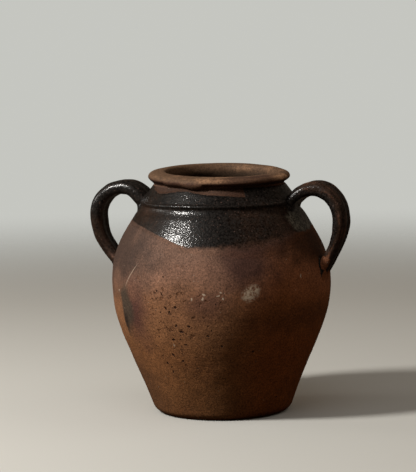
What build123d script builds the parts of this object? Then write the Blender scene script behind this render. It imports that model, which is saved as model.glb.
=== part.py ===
"""Two-handled storage pot: one thrown clay body with a rolled lip, two pulled strap handles luted on with slip,
and a dark glaze coat over the neck, the shoulder and the handles.
Millimetres, +Z up. The origin is the centre of the standing face, and the handles lie along X."""

import os
from math import cos, radians, sin, tan

from build123d import *

# Overall form, measured on the outside
HEIGHT = 280.0
BELLY_RADIUS = 127.4
BELLY_HEIGHT = 151.0

# Foot: a flat standing face, and a rounded heel out to where the wall springs
FOOT_RADIUS = 69.0
HEEL_OUT = 11.5
HEEL_HEIGHT = 7.0

# Wall and floor. The leans are degrees from upright, at the heel and at the top of the shoulder
WALL = 8.0
FLOOR = 11.0
FLOOR_CORNER = 14.0
WALL_LEAN = 20.0
SHOULDER_LEAN = 30.7
HEEL_PULL_SHARE = 0.57
BELLY_PULL_BELOW_SHARE = 0.315
BELLY_PULL_ABOVE_SHARE = 0.456
SHOULDER_PULL_SHARE = 0.366

# Cordon: the raised ring between the shoulder and the neck, and how far the shoulder draws in to reach it
SHOULDER_IN = 35.9
CORDON_WIDTH = 4.6
CORDON_PROUD = 1.3
CORDON_STEP = 1.3

# Neck: a cone from the cordon up to the lip
NECK_LENGTH = 19.4
NECK_TAPER = 14.7
NECK_WALL = 13.5

# Lip: rolled out over the neck, flat on top, rounded into the mouth
LIP_DEPTH = 15.0
LIP_OUT = 6.9
LIP_EDGE_DROP = 6.5
LIP_ROUND_SHARE = 0.6
LIP_CROWN_SHARE = 0.5
MOUTH_ROUND = 5.0
MOUTH_LAND = 8.0

# Strap handle: the way that its middle line takes, in the plane through the pot's axis
UPPER_ROOT_SHARE = 0.025
LOWER_ROOT_SHARE = 0.23
HANDLE_LEAVE_ANGLE = 40.5
HANDLE_JOIN_ANGLE = 51.0
HANDLE_TOP_OUT = 26.0
HANDLE_RISE = 14.0
HANDLE_STANDOFF = 20.0
HANDLE_SIDE_SHARE = 0.395
UPPER_BURY = 10.0
LOWER_BURY = 18.0
LEAVE_PULL_SHARE = 0.3
ROUND_PULL_SHARE = 0.5523
JOIN_PULL_SHARE = 0.37
HANDLE_FORWARD_ANGLE = 2.0

# Strap section: it is pulled thinner from the upper root to the tail, and pressed wider again at the lower root
UPPER_ROOT_WIDTH = 40.0
UPPER_ROOT_THICKNESS = 17.5
CROWN_WIDTH = 33.0
CROWN_THICKNESS = 17.6
SIDE_WIDTH = 32.0
SIDE_THICKNESS = 17.0
TAIL_WIDTH = 27.0
TAIL_THICKNESS = 14.7
LOWER_ROOT_WIDTH = 33.0
LOWER_ROOT_THICKNESS = 15.7
SECTION_SHARES = (0.0, 0.08, 0.3, 0.55, 0.78, 0.93, 1.0)
GROOVE_DEPTH_SHARE = 0.11
GROOVE_HALF_SHARE = 0.11
RIDGE_SHARE = 0.25
EDGE_SHARE = 0.1
CROWN_DROP_SHARE = 0.17
STATIONS = 15

# Slip between a handle's root and the wall, and how far it is squeezed out around the root
SLIP = 1.2
SLIP_SQUEEZE = 2.4

# Glaze coat. Its dip line is a saddle: just below the cordon near the handles, low in front and behind.
# The dip was a little skew, so the saddle is turned about the pot's axis, in degrees
GLAZE = 0.5
GLAZE_TOP_SHARE = 0.9
DIP_SIDE_DROP = 10.0
DIP_SAG = 33.5
DIP_TURN_ANGLE = 17.0

# Places that follow from the sizes above
NECK_TOP = HEIGHT - LIP_DEPTH
CORDON_TOP = NECK_TOP - NECK_LENGTH
CORDON_BASE = CORDON_TOP - CORDON_WIDTH
LIP_EDGE_HEIGHT = HEIGHT - LIP_EDGE_DROP
HEEL_RADIUS = FOOT_RADIUS + HEEL_OUT
SHOULDER_TOP_RADIUS = BELLY_RADIUS - SHOULDER_IN
NECK_BASE_RADIUS = SHOULDER_TOP_RADIUS - CORDON_STEP
NECK_RADIUS = NECK_BASE_RADIUS - NECK_TAPER
LIP_RADIUS = NECK_RADIUS + LIP_OUT
MOUTH_RADIUS = NECK_RADIUS - NECK_WALL
LIP_CROWN_RADIUS = LIP_RADIUS - LIP_CROWN_SHARE * (LIP_RADIUS - MOUTH_RADIUS - MOUTH_ROUND)
INNER_HEEL_HEIGHT = FLOOR + FLOOR_CORNER
INNER_HEEL_RADIUS = HEEL_RADIUS + (INNER_HEEL_HEIGHT - HEEL_HEIGHT) * tan(radians(WALL_LEAN)) - WALL


def wall_curve(inset, heel_radius, heel_height):
    """Lower wall from the heel up to the belly, with its belly moved inwards by inset."""
    rise = BELLY_HEIGHT - heel_height
    lean = radians(WALL_LEAN)
    belly_radius = BELLY_RADIUS - inset
    pull = HEEL_PULL_SHARE * rise
    return Bezier(
        (heel_radius, heel_height),
        (heel_radius + pull * sin(lean), heel_height + pull * cos(lean)),
        (belly_radius, BELLY_HEIGHT - BELLY_PULL_BELOW_SHARE * rise),
        (belly_radius, BELLY_HEIGHT),
    )


def shoulder_curve(inset):
    """Shoulder from the belly up to the cordon, moved inwards by inset."""
    rise = CORDON_BASE - BELLY_HEIGHT
    lean = radians(SHOULDER_LEAN)
    belly_radius = BELLY_RADIUS - inset
    top_radius = SHOULDER_TOP_RADIUS - inset
    pull = SHOULDER_PULL_SHARE * rise
    return Bezier(
        (belly_radius, BELLY_HEIGHT),
        (belly_radius, BELLY_HEIGHT + BELLY_PULL_ABOVE_SHARE * rise),
        (top_radius + pull * sin(lean), CORDON_BASE - pull * cos(lean)),
        (top_radius, CORDON_BASE),
    )


def cordon_arc(grow):
    """The raised ring: an arc that stands proud of the line from the shoulder to the neck."""
    low = Vector(SHOULDER_TOP_RADIUS + grow, CORDON_BASE)
    high = Vector(NECK_BASE_RADIUS + grow, CORDON_TOP)
    along = (high - low).normalized()
    proud = Vector(along.Y, -along.X) * CORDON_PROUD
    return ThreePointArc(low, (low + high) / 2 + proud, high)


def neck_line(grow):
    """The neck's outside, from the cordon up to the lip."""
    return Line((NECK_BASE_RADIUS + grow, CORDON_TOP), (NECK_RADIUS + grow, NECK_TOP))


def lip_curves(grow):
    """The rolled lip: out from under the neck to the lip's edge, and over to the crown."""
    neck, edge, crown = NECK_RADIUS + grow, LIP_RADIUS + grow, LIP_CROWN_RADIUS + grow
    under_pull = LIP_ROUND_SHARE * (LIP_EDGE_HEIGHT - NECK_TOP)
    over_pull = LIP_ROUND_SHARE * LIP_EDGE_DROP
    return [
        Bezier(
            (neck, NECK_TOP),
            (neck + LIP_ROUND_SHARE * LIP_OUT, NECK_TOP),
            (edge, LIP_EDGE_HEIGHT - under_pull),
            (edge, LIP_EDGE_HEIGHT),
        ),
        Bezier(
            (edge, LIP_EDGE_HEIGHT),
            (edge, LIP_EDGE_HEIGHT + over_pull),
            (crown + LIP_ROUND_SHARE * (edge - crown), HEIGHT),
            (crown, HEIGHT),
        ),
    ]


def outside(grow):
    """Outside outline from the axis under the foot up to the crown of the lip, moved outwards by grow."""
    foot = (FOOT_RADIUS + grow, 0)
    heel = (HEEL_RADIUS + grow, HEEL_HEIGHT)
    return [
        Line((0, 0), foot),
        TangentArc(foot, heel, tangent=(1, 0)),
        wall_curve(-grow, *heel),
        shoulder_curve(-grow),
        cordon_arc(grow),
        neck_line(grow),
        *lip_curves(grow),
    ]


def inside():
    """Inside outline from the crown of the lip down the wall, over the floor and back along the axis."""
    round_start = (MOUTH_RADIUS + MOUTH_ROUND, HEIGHT)
    round_end = (MOUTH_RADIUS, HEIGHT - MOUTH_ROUND)
    land_end = (MOUTH_RADIUS, HEIGHT - MOUTH_ROUND - MOUTH_LAND)
    shoulder = shoulder_curve(WALL)
    wall = wall_curve(WALL, INNER_HEEL_RADIUS, INNER_HEEL_HEIGHT)
    floor_edge = (INNER_HEEL_RADIUS - FLOOR_CORNER, FLOOR)
    return [
        Line((LIP_CROWN_RADIUS, HEIGHT), round_start),
        TangentArc(round_start, round_end, tangent=(-1, 0)),
        Line(round_end, land_end),
        Line(land_end, shoulder @ 1),
        shoulder,
        wall,
        Bezier(wall @ 0, (INNER_HEEL_RADIUS, FLOOR), floor_edge),
        Line(floor_edge, (0, FLOOR)),
        Line((0, FLOOR), (0, 0)),
    ]


def turned(edges):
    """The solid that a closed outline sweeps when it is turned about the pot's axis, with its seam at the back."""
    return revolve(Plane.YZ * make_face(edges), axis=Axis.Z)


def filled_form(grow):
    """The pot's outside as a filled solid, moved outwards by grow."""
    crown = (LIP_CROWN_RADIUS + grow, HEIGHT)
    return turned(outside(grow) + [Line(crown, (0, HEIGHT)), Line((0, HEIGHT), (0, 0))])


def handle_path():
    """Middle line of the strap: out of the neck, over the top, down the side and into the wall."""
    out, down = Vector(1, 0), Vector(0, -1)
    leave = Vector(cos(radians(HANDLE_LEAVE_ANGLE)), sin(radians(HANDLE_LEAVE_ANGLE)))
    join = Vector(-cos(radians(HANDLE_JOIN_ANGLE)), -sin(radians(HANDLE_JOIN_ANGLE)))
    upper = neck_line(0) @ UPPER_ROOT_SHARE
    lower = shoulder_curve(0) @ LOWER_ROOT_SHARE
    top = upper + Vector(HANDLE_TOP_OUT, HANDLE_RISE)
    side = Vector(BELLY_RADIUS + HANDLE_STANDOFF, top.Y - HANDLE_SIDE_SHARE * (top.Y - lower.Y))
    leave_pull = LEAVE_PULL_SHARE * (top - upper).length
    rise_pull = ROUND_PULL_SHARE * HANDLE_TOP_OUT
    over_pull = ROUND_PULL_SHARE * (side.X - top.X)
    side_pull = ROUND_PULL_SHARE * (top.Y - side.Y)
    join_pull = JOIN_PULL_SHARE * (side - lower).length
    return Wire(
        [
            Line(upper - leave * UPPER_BURY, upper),
            Bezier(upper, upper + leave * leave_pull, top - out * rise_pull, top),
            Bezier(top, top + out * over_pull, side - down * side_pull, side),
            Bezier(side, side + down * join_pull, lower - join * join_pull, lower),
            Line(lower, lower + join * LOWER_BURY),
        ]
    )


def strap_section(width, thickness):
    """Closed strap outline: rounded edges, a crowned back, and in front two ridges with a groove between them."""
    half_w, half_t = width / 2, thickness / 2
    edge_x, edge_y = half_w - EDGE_SHARE * width, half_t - CROWN_DROP_SHARE * thickness
    ridge_x, groove_x = RIDGE_SHARE * width, GROOVE_HALF_SHARE * width
    groove_y = half_t - GROOVE_DEPTH_SHARE * thickness
    brink_y = (half_t + groove_y) / 2
    return make_face(
        [
            ThreePointArc((-edge_x, -edge_y), (0, -half_t), (edge_x, -edge_y)),
            ThreePointArc((edge_x, -edge_y), (half_w, 0), (edge_x, edge_y)),
            ThreePointArc((edge_x, edge_y), (ridge_x, half_t), (groove_x, brink_y)),
            ThreePointArc((groove_x, brink_y), (0, groove_y), (-groove_x, brink_y)),
            ThreePointArc((-groove_x, brink_y), (-ridge_x, half_t), (-edge_x, edge_y)),
            ThreePointArc((-edge_x, edge_y), (-half_w, 0), (-edge_x, -edge_y)),
        ]
    )


def section_size(share, upper, crown, side, tail, lower):
    """A width or thickness at a share of the path, easing from each named section to the next."""
    sizes = (upper, upper, crown, side, tail, lower, lower)
    last = len(SECTION_SHARES) - 1
    i = min(k for k in range(last) if share <= SECTION_SHARES[k + 1])
    part = (share - SECTION_SHARES[i]) / (SECTION_SHARES[i + 1] - SECTION_SHARES[i])
    ease = part * part * (3 - 2 * part)
    return sizes[i] + ease * (sizes[i + 1] - sizes[i])


def strap(grow):
    """The whole strap along +X, its roots buried in the wall, with its section grown by grow on every side."""
    path = handle_path()
    widths = (UPPER_ROOT_WIDTH, CROWN_WIDTH, SIDE_WIDTH, TAIL_WIDTH, LOWER_ROOT_WIDTH)
    thicknesses = (
        UPPER_ROOT_THICKNESS,
        CROWN_THICKNESS,
        SIDE_THICKNESS,
        TAIL_THICKNESS,
        LOWER_ROOT_THICKNESS,
    )
    sections = []
    for i in range(STATIONS):
        share = i / (STATIONS - 1)
        width = section_size(share, *widths) + 2 * grow
        thickness = section_size(share, *thicknesses) + 2 * grow
        at, along = path @ share, path % share
        station = Plane(origin=(at.X, 0, at.Y), x_dir=(0, 1, 0), z_dir=(along.X, 0, along.Y))
        sections.append(station * strap_section(width, thickness))
    return loft(sections)


def on_side(shape, side):
    """Puts what was made along +X a little forward of the diameter, on the right or, mirrored, on the left."""
    placed = Rot(0, 0, -HANDLE_FORWARD_ANGLE) * shape
    return mirror(placed, about=Plane.YZ) if side == "left" else placed


def shoulder_glaze(roots):
    """Thin coat from under the lip down to the dip line, open where the handles' roots are luted on."""
    neck, shoulder = neck_line(0), shoulder_curve(0)
    top = neck @ GLAZE_TOP_SHARE
    across = Vector(GLAZE, 0)
    inner = [shoulder, cordon_arc(0), Line(neck @ 0, top)]
    outer = [edge.moved(Pos(across)) for edge in inner]
    ends = [Line(shoulder @ 0, (shoulder @ 0) + across), Line(top, top + across)]
    coat = turned(inner + outer + ends)
    dip_radius = (BELLY_RADIUS**2 + DIP_SAG**2) / (2 * DIP_SAG)
    below = Cylinder(dip_radius, 2 * (BELLY_RADIUS + GLAZE), rotation=(0, 90, 0))
    dip = Pos(0, 0, CORDON_BASE - DIP_SIDE_DROP - dip_radius) * Rot(0, 0, DIP_TURN_ANGLE) * below
    return coat - dip - roots


def main():
    os.makedirs("parts", exist_ok=True)
    plain, glazed, squeezed = strap(0), strap(GLAZE), strap(SLIP_SQUEEZE)
    wall_form, slip_form = filled_form(0), filled_form(SLIP)
    handle = plain - slip_form
    handle_glaze = glazed - plain - slip_form
    slips = ((squeezed & slip_form) - wall_form).solids().sort_by(Axis.Z)
    pieces = {"pot_body": turned(outside(0) + inside())}
    for side in ("left", "right"):
        pieces[f"{side}_handle"] = on_side(handle, side)
        pieces[f"{side}_handle_glaze"] = on_side(handle_glaze, side)
        pieces[f"{side}_upper_slip"] = on_side(slips[-1], side)
        pieces[f"{side}_lower_slip"] = on_side(slips[0], side)
    pieces["shoulder_glaze"] = shoulder_glaze(on_side(squeezed, "left") + on_side(squeezed, "right"))
    for name, piece in pieces.items():
        export_step(piece, f"parts/{name}.step")


main()
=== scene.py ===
"""The dressed two-handled storage pot: a hand-thrown body of fired clay, two pulled strap handles with
the slip that lutes them on, and the dark glaze over the neck, the shoulder and the handles. Every surface
is worked out with numpy on a grid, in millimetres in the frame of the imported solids, and is put into its
mesh in metres. Angles around the pot run from the front (-Y) towards the right handle (+X)."""

import math
from typing import NamedTuple

import bpy
import numpy as np
from mathutils import Matrix, Vector


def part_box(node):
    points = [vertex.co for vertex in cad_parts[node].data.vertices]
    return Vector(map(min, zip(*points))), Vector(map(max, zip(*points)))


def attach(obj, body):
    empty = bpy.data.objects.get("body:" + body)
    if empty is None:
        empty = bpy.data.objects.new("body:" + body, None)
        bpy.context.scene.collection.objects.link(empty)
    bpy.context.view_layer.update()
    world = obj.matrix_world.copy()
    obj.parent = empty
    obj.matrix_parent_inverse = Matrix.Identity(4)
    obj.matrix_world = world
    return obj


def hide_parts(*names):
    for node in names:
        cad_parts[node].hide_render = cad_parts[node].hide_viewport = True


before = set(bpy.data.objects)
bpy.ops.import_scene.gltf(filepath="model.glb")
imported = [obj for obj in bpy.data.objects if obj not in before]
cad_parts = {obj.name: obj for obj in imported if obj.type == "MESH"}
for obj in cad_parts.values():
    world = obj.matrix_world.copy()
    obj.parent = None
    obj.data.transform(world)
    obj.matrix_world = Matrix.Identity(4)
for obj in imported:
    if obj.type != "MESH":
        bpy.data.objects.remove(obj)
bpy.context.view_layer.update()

MM = 0.001

# The pot's form, in millimetres: as in the solids, apart from the cordon's raise, the steeper underside
# of the lip and the place of its crown
pot_corner = np.array(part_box("pot_body")[1]) / MM
HEIGHT = pot_corner[2]
BELLY_RADIUS = pot_corner[0]
BELLY_HEIGHT = 151.0
FOOT_RADIUS = 69.0
HEEL_OUT = 11.5
HEEL_HEIGHT = 7.0
WALL = 8.0
FLOOR = 11.0
FLOOR_CORNER = 14.0
WALL_LEAN = math.radians(20.0)
SHOULDER_LEAN = math.radians(30.7)
HEEL_PULL_SHARE = 0.57
BELLY_PULL_BELOW_SHARE = 0.315
BELLY_PULL_ABOVE_SHARE = 0.456
SHOULDER_PULL_SHARE = 0.366
SHOULDER_IN = 35.9
CORDON_WIDTH = 4.6
CORDON_PROUD = 1.3
CORDON_STEP = 1.3
CORDON_RAISE = 1.4
NECK_LENGTH = 19.4
NECK_TAPER = 14.7
NECK_WALL = 13.5
LIP_DEPTH = 15.0
LIP_OUT = 6.9
LIP_EDGE_DROP = 6.5
LIP_UNDER_SHARE = 0.35
LIP_ROUND_SHARE = 0.6
LIP_CROWN_SHARE = 0.75
MOUTH_ROUND = 5.0
MOUTH_LAND = 8.0
GLAZE = 0.5

# Places that follow from the form
NECK_TOP = HEIGHT - LIP_DEPTH
CORDON_TOP = NECK_TOP - NECK_LENGTH
CORDON_BASE = CORDON_TOP - CORDON_WIDTH
CORDON_MIDDLE = CORDON_TOP - CORDON_WIDTH / 2 + CORDON_RAISE
LIP_EDGE_HEIGHT = HEIGHT - LIP_EDGE_DROP
HEEL_RADIUS = FOOT_RADIUS + HEEL_OUT
SHOULDER_TOP_RADIUS = BELLY_RADIUS - SHOULDER_IN
NECK_BASE_RADIUS = SHOULDER_TOP_RADIUS - CORDON_STEP
NECK_RADIUS = NECK_BASE_RADIUS - NECK_TAPER
LIP_RADIUS = NECK_RADIUS + LIP_OUT
MOUTH_RADIUS = NECK_RADIUS - NECK_WALL
LIP_CROWN_RADIUS = LIP_RADIUS - LIP_CROWN_SHARE * (LIP_RADIUS - MOUTH_RADIUS - MOUTH_ROUND)
INNER_HEEL_HEIGHT = FLOOR + FLOOR_CORNER
INNER_HEEL_RADIUS = HEEL_RADIUS + (INNER_HEEL_HEIGHT - HEEL_HEIGHT) * math.tan(WALL_LEAN) - WALL

# The camera, from a fit to the outline: millimetres, degrees, and pixels of the 416 by 472 frame
VIEW_ANGLE = math.radians(18.0)
VIEW_DISTANCE = 2346.0
VIEW_HEIGHT = 449.5
VIEW_PITCH = math.radians(5.982)
VIEW_YAW = math.radians(-0.343)
VIEW_ROLL = math.radians(-1.1)
FOCAL_PIXELS = 2028.2
FRAME_PIXELS = 472.0
SENSOR = 36.0

# The grid of the pot: how many columns, and how much closer together they are around the front
COLUMNS = 392
FRONT_EXTRA = 1.0
FRONT_SPREAD = math.radians(95.0)

# What the potter's hands left on the form. Unevenness is given as its amount, the size of its noise in
# millimetres, and its seed, here and below
SLOW_LUMPS = (0.7, 62.0, 1)
QUICK_LUMPS = (0.22, 15.0, 2)
RING_PITCH = 7.6
RING_DEPTH = 0.05
RING_FADE = 12.0
RING_START = 30.0
RING_MEAN = 0.6
RING_CHANGE = (0.4, 35.0, 3)
INNER_RING_PITCH = 12.0
INNER_RING_DEPTH = 0.7
FOOT_EASE = 10.0
FLOOR_EASE = 12.0
HOLLOW_DEPTH = 1.1
HOLLOW_DROP = 3.3
HOLLOW_WIDTH = 4.6
WANDER_HEIGHTS = (0.0, 60.0, 140.0, 200.0, 245.0, 280.0)
WANDER = (0.0, -0.5, 0.9, -0.5, 0.0, 0.0)
RIM_TILT = 3.3
RIM_LOW_SIDE = math.radians(30.0)
RIM_FADE = 26.0
MOUTH_ACROSS = 1.4
# A smear of clay under the lip: its ends and thickest place in degrees around, then its height and size
SMEAR_FROM = -33.0
SMEAR_TO = 5.0
SMEAR_END = 1.5
SMEAR_THICKEST = -3.5
SMEAR_THICK_HALF = 8.0
SMEAR_THIN_SHARE = 0.35
SMEAR_HEIGHT = 268.0
SMEAR_HALF_HEIGHT = 4.5
SMEAR_PROUD = 4.4

# The strap's section: its width at the upper root, crown, side, tail and lower root, and its ridges,
# groove and inner channel, whose depths are shares of half the thickness and whose places are shares of
# half the width
STRAP_WIDTHS = (40.0, 33.0, 32.0, 26.0, 28.0)
SECTION_SHARES = np.array((0.0, 0.08, 0.3, 0.55, 0.78, 0.93, 1.0))
SECTION_POWER = 2.0 / 2.5
GROOVE_SHARE = 0.28
GROOVE_HALF = 0.24
RIDGE_SHARE = 0.05
RIDGE_PLACE = 0.52
RIDGE_HALF = 0.2
CHANNEL_SHARE = 0.3
CHANNEL_PLACE = 0.1
CHANNEL_HALF = 0.4
FACE_EASE = 0.6
UPPER_BURY = 10.0
LOWER_BURY = 18.0
ROUND_PULL_SHARE = 0.5523
BURY = 4.0
STRAP_ROWS = 170
STRAP_COLUMNS = 96
STRAP_LUMP = 0.3
STRAP_LUMP_NOISE = (11.0, 5)
STRAP_FINE = (0.4, 4.0, 6)
STRAP_SWAY = 0.8
STRAP_LENGTH = 240.0
LINE_STEP = 0.004
STRAP_ANGLES = np.linspace(0.0, 2.0 * math.pi, STRAP_COLUMNS, endpoint=False)

# Slip: how far it reaches up the strap and out on the wall, how much further where it was pressed into
# the corner, and how deep its hidden edges lie
SLIP_UP_SHARE = 0.022
SLIP_UP_EXTRA = 0.04
SLIP_OUT = 5.0
SLIP_OUT_EXTRA = 8.0
DRAWN_OUT = 3.0
DRAWN_UP_EXTRA = 0.06
DRAWN_OUT_EXTRA = 12.0
SLIP_SUNK = 0.5
SLIP_DIVE = 1.5
SLIP_ROWS = 12
SLIP_WAVER = (0.3, 13.0, 7)
SLIP_PRESSED = (0.1, 0.9)
# Where along the strap its roots are looked for, and in how many steps
ROOT_SEARCH = {"upper": (0.0, 0.4, 300), "lower": (1.0, 0.6, 300)}
# How much glaze the slip carries, the sides of the strap, as angles around its section, where glaze lies
# in the crevice, dark there also as painted shade, where the slip was left bare, and where the strap's own
# tail was, and how each fades out
UPPER_SLIP_FILM = 0.9
LOWER_SLIP_FILM = 0.6
CREVICE_SIDE = math.radians(215.0)
BARE_SLIP_SIDE = math.radians(100.0)
BARE_TAIL_SIDE = math.radians(190.0)
SLIP_THINNING = (0.9, 0.3)
CREVICE_ACROSS = (0.15, 0.4)
CREVICE_AROUND = (0.1, 0.6)
BARE_SLIP_AROUND = (-0.75, -0.4)

# The glaze on the straps: where along them it lies, and at how much glaze it rises out of the clay
COAT_ALONG = (0.02, 0.98)
COAT_LIFT = (0.02, 0.14)
# Its clouds and streaks, as size and seed, on half the strap's width and thickness
FILM_HALVES = (30.0, 14.0)
STRAP_CLOUD = (14.0, 30)
STRAP_STREAKS = (3.0, 32)
STREAK_STRETCH = (1.0, 1.0, 0.12)
# Where it is thin, around the section and along the strap, on its thin side and low down on its front
THIN_AROUND = (-0.1, 0.35)
THIN_ALONG = (0.1, 0.2)
THIN_FRONT = (-0.2, 0.4)
THIN_OUTWARD = 0.4
THIN_CLOUDY = 0.2
LOW_EASE = 0.09
LOW_CLOUDY = 0.02
# How much less glaze lies there, how much more in the groove, and how much clouds change it
THIN_LOSS = 0.6
STREAK_LOSS = 0.16
GROOVE_FILM = 0.4
GROOVE_FILM_HALF = 0.16
CLOUD_FILM = 0.1
# Where the bare tail starts along the strap and around its section, and how sharp its edge is
TAIL_ALONG = (0.78, 0.86)
TAIL_AROUND = (0.4, 0.9)
TAIL_EDGE = (0.3, 0.6)
TAIL_UNEVEN = (0.15, 5.0, 31)

# The dip line of the glaze: degrees around, and the height of its lower edge
DIP_LINE = (
    (-180, 209), (-160, 207), (-140, 212), (-120, 220), (-100, 226), (-80, 226), (-60, 224.5), (-41, 221.5),
    (-29.5, 217.5), (-15, 210.4), (-8, 206), (-3.7, 203), (1.3, 201.7), (18, 200), (30, 198.5), (42, 199.5),
    (55, 204), (66, 209.5), (74, 212), (90, 212.6), (105, 216), (120, 220), (140, 215), (160, 210),
    (180, 209),
)
# How sharp that edge is: degrees around, and the width in which the coat thins out
DIP_FEATHER = (
    (-180, 2.0), (-60, 1.5), (-20, 1.0), (-6, 1.4), (4, 6.0), (20, 8.0), (35, 14.0), (62, 16.0), (72, 3.0),
    (180, 2.0),
)
# How much of the edge lies under the line, and how ragged it is: half its width less DIP_SMOOTH, between
# the two values of DIP_RAGGED
DIP_UNDER_SHARE = 0.3
DIP_SMOOTH = 0.4
DIP_RAGGED = (0.1, 2.0)
DIP_COARSE = (1.3, 9.0, 8)
DIP_FINE = (0.6, 3.5, 9)
# How thick the coat is: degrees around, and its share of the full thickness
COAT_SHARES = (
    (-180, 0.9), (-95, 0.75), (-60, 0.52), (-38, 0.52), (-24, 0.8), (-13, 1.0), (14, 1.0), (22, 0.9),
    (34, 0.58), (72, 0.5), (90, 0.75), (180, 0.9),
)
# The strip under the lip that the glaze missed: degrees around, and the height of its lower edge
BARE_STRIP = (
    (-56, 262), (-40, 258), (-31, 258.5), (-20, 260.9), (-9, 261.3), (5, 258.4), (21, 256.8), (35, 255.4),
)
STRIP_START = -56.0
STRIP_END = 38.5
STRIP_UNEVEN = (0.4, 5.0, 11)
MM_PER_DEGREE = 1.4
# The coat's ends: its lowest row, how deep it is sunk under the clay and how far it stands out at least,
# and where it thins out at its top, at the dip line and at the strip, and dives under the clay at these
# two
COAT_LOW = 186.0
COAT_SINK = 0.25
COAT_LEAST = 0.06
COAT_TOP = (NECK_TOP, NECK_TOP - 1.5)
COAT_TOP_UNEVEN = (0.8, 9.0, 8)
DIP_LAID = (1.0, -4.0)
STRIP_LAID = (1.5, -2.0)
DIP_DIVE = (4.5, 2.5)
STRIP_DIVE = (3.5, 2.0)
FILM_UNEVEN = (0.3, 24.0, 10)
NECK_FILM_EXTRA = 0.5
# How far around the strip's edge its depth is kept on the mesh, in millimetres, where the glaze ends
# there, and how far around the dip line's edge, in widths of it
MISSED_REACH = 3.0
MISSED_EDGE = (MISSED_REACH + 0.5, MISSED_REACH - 0.4)
DIP_REACH = (-2.0, 3.0)
# A patch of ash on the glaze: degrees around, height, half width in degrees and half height
ASH_PATCH = (82.0, 223.0, 13.0, 13.0)
ASH_SLANT = 0.25
ASH_FADE = (1.15, 0.75)
ASH_UNEVEN = (0.2, 5.0, 12)

# Deep pits in the wall: degrees around, height, half width, half height and tilt
PITS = (
    (-16.4, 154.0, 1.3, 1.3, 0.0), (-12.7, 170.2, 1.0, 1.0, 0.0), (-6.1, 136.4, 2.1, 1.5, 10.0),
    (-11.6, 134.9, 1.3, 2.6, -35.0), (-9.6, 130.4, 1.2, 2.2, 25.0), (-6.6, 115.4, 1.3, 2.0, 15.0),
    (0.5, 115.0, 2.5, 1.1, 0.0), (-3.9, 108.3, 3.0, 1.6, 10.0), (-9.6, 98.6, 1.8, 1.4, 0.0),
    (-2.8, 93.3, 2.0, 1.1, 0.0), (10.6, 104.1, 2.1, 1.3, 0.0), (18.0, 91.9, 1.6, 1.3, 0.0),
    (-11.8, 80.3, 1.5, 1.7, -20.0), (-17.6, 69.4, 1.5, 1.5, 0.0), (-6.3, 73.2, 2.0, 1.3, -10.0),
    (-15.3, 59.4, 1.3, 1.6, 0.0), (2.4, 65.1, 1.4, 1.1, 0.0), (-13.6, 150.6, 0.9, 3.0, -25.0),
    (36.0, 84.0, 1.3, 1.2, 0.0), (62.5, 24.5, 1.4, 1.1, 0.0),
)
# Chips and flecks of pale clay: degrees around, height, half width, half height and tilt
FLECKS = (
    (3.0, 146.0, 1.0, 2.2, 10.0), (9.2, 151.5, 2.0, 1.2, 40.0), (8.6, 146.8, 1.2, 2.2, 25.0),
    (16.4, 150.2, 1.9, 0.8, 0.0), (17.9, 153.6, 1.3, 1.5, 0.0), (18.8, 146.8, 1.0, 1.1, 0.0),
    (-48.8, 149.0, 1.4, 1.3, 0.0), (-10.0, 92.0, 0.8, 1.9, 0.0), (63.0, 166.0, 0.9, 2.8, 0.0),
)
SCUFF = (33.0, 151.8, 12.0, 8.5, -35.0)
SCRATCH = (-36.0, 168.6, 0.5, 18.5, 38.0)
SPOT_DEPTH = 15.0
SPOT_EDGE = (1.2, 0.6)

# Soft patches on the wall: degrees around, height, half width in degrees, half height, softness, and the
# seed of the noise that breaks up the outline
PATCHES = {
    # painted shade low on the left side
    "low_left_shade": (-66.0, 25.0, 30.0, 60.0, 0.6, 33),
    # painted shade on the right of the belly, on the side turned from the light
    "dusk_shade": (70.0, 119.0, 36.0, 16.0, 0.7, 34),
    # painted shade on the right shoulder by the right handle, on the side turned from the light
    "shade": (85.0, 197.0, 28.0, 20.0, 0.6, 35),
    "smoke": (-62.0, 198.0, 43.0, 44.0, 0.6, 24),
    "flash": (31.5, 180.0, 15.0, 22.0, 0.6, 23),
    "halo": (-34.0, 123.0, 9.0, 28.0, 0.8, 22),
    "blush": (11.0, 138.0, 10.0, 13.0, 0.8, 37),
    "bruise": (-42.5, 129.0, 6.8, 24.0, 0.35, 21),
    "scorch_and_crevice_shade": (-45.0, 112.0, 3.0, 11.0, 0.6, 27),
    # painted shade in the crevice beside the right handle's lower root
    "crevice": (86.5, 176.0, 4.0, 9.0, 0.5, 36),
    "pitted": (-8.0, 118.0, 24.0, 62.0, 0.5, 28),
}
PATCH_UNEVEN = (0.3, 12.0)
BLUSH_SHARE = 0.6
# Where another pot stood against this one: the degrees over which that mark starts
STACK_EDGE = (-47.5, -45.0)
STACK_UNEVEN = (0.8, 7.0, 20)
# Sides of the pot, as degrees where each starts, is full, fades and ends
HAZY_SIDE = (8.0, 30.0, 62.0, 80.0)
RIGHT_SIDE = (15.0, 50.0, 110.0, 150.0)
# The haze under the dip line: how far below the line it has ended, and how far it is full
HAZE_FADE = (20.0, 2.0)
HAZE_UNEVEN = (5.0, 14.0, 26)
# Heights at which the strip under the lip starts, is full, fades and ends
STRIP_HEIGHTS = (CORDON_TOP, CORDON_TOP + 3.0, NECK_TOP - 0.5, NECK_TOP + 1.0)
# Heights over which the painted shade under the lip starts and ends, and the rim, its outer face and the
# darker clay and painted shade inside start
UNDER_START = (NECK_TOP + 0.5, NECK_TOP + 2.0)
UNDER_END = (LIP_EDGE_HEIGHT + 2.0, LIP_EDGE_HEIGHT - 1.0)
UNDER_UNEVEN = (0.8, 8.0, 29)
RIM_START = (NECK_TOP, NECK_TOP + 3.0)
RIM_FACE = (HEIGHT - 0.5, HEIGHT - 3.5)
INSIDE_START = (HEIGHT - 4.0, HEIGHT - MOUTH_ROUND - 7.0)
# Painted light on the rim, which is paler on its right and in front: the middle in degrees around, and the
# half width
RIM_PALE_RIGHT = (55.0, 32.0)
RIM_PALE_FRONT = (24.0, 14.0)
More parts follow.
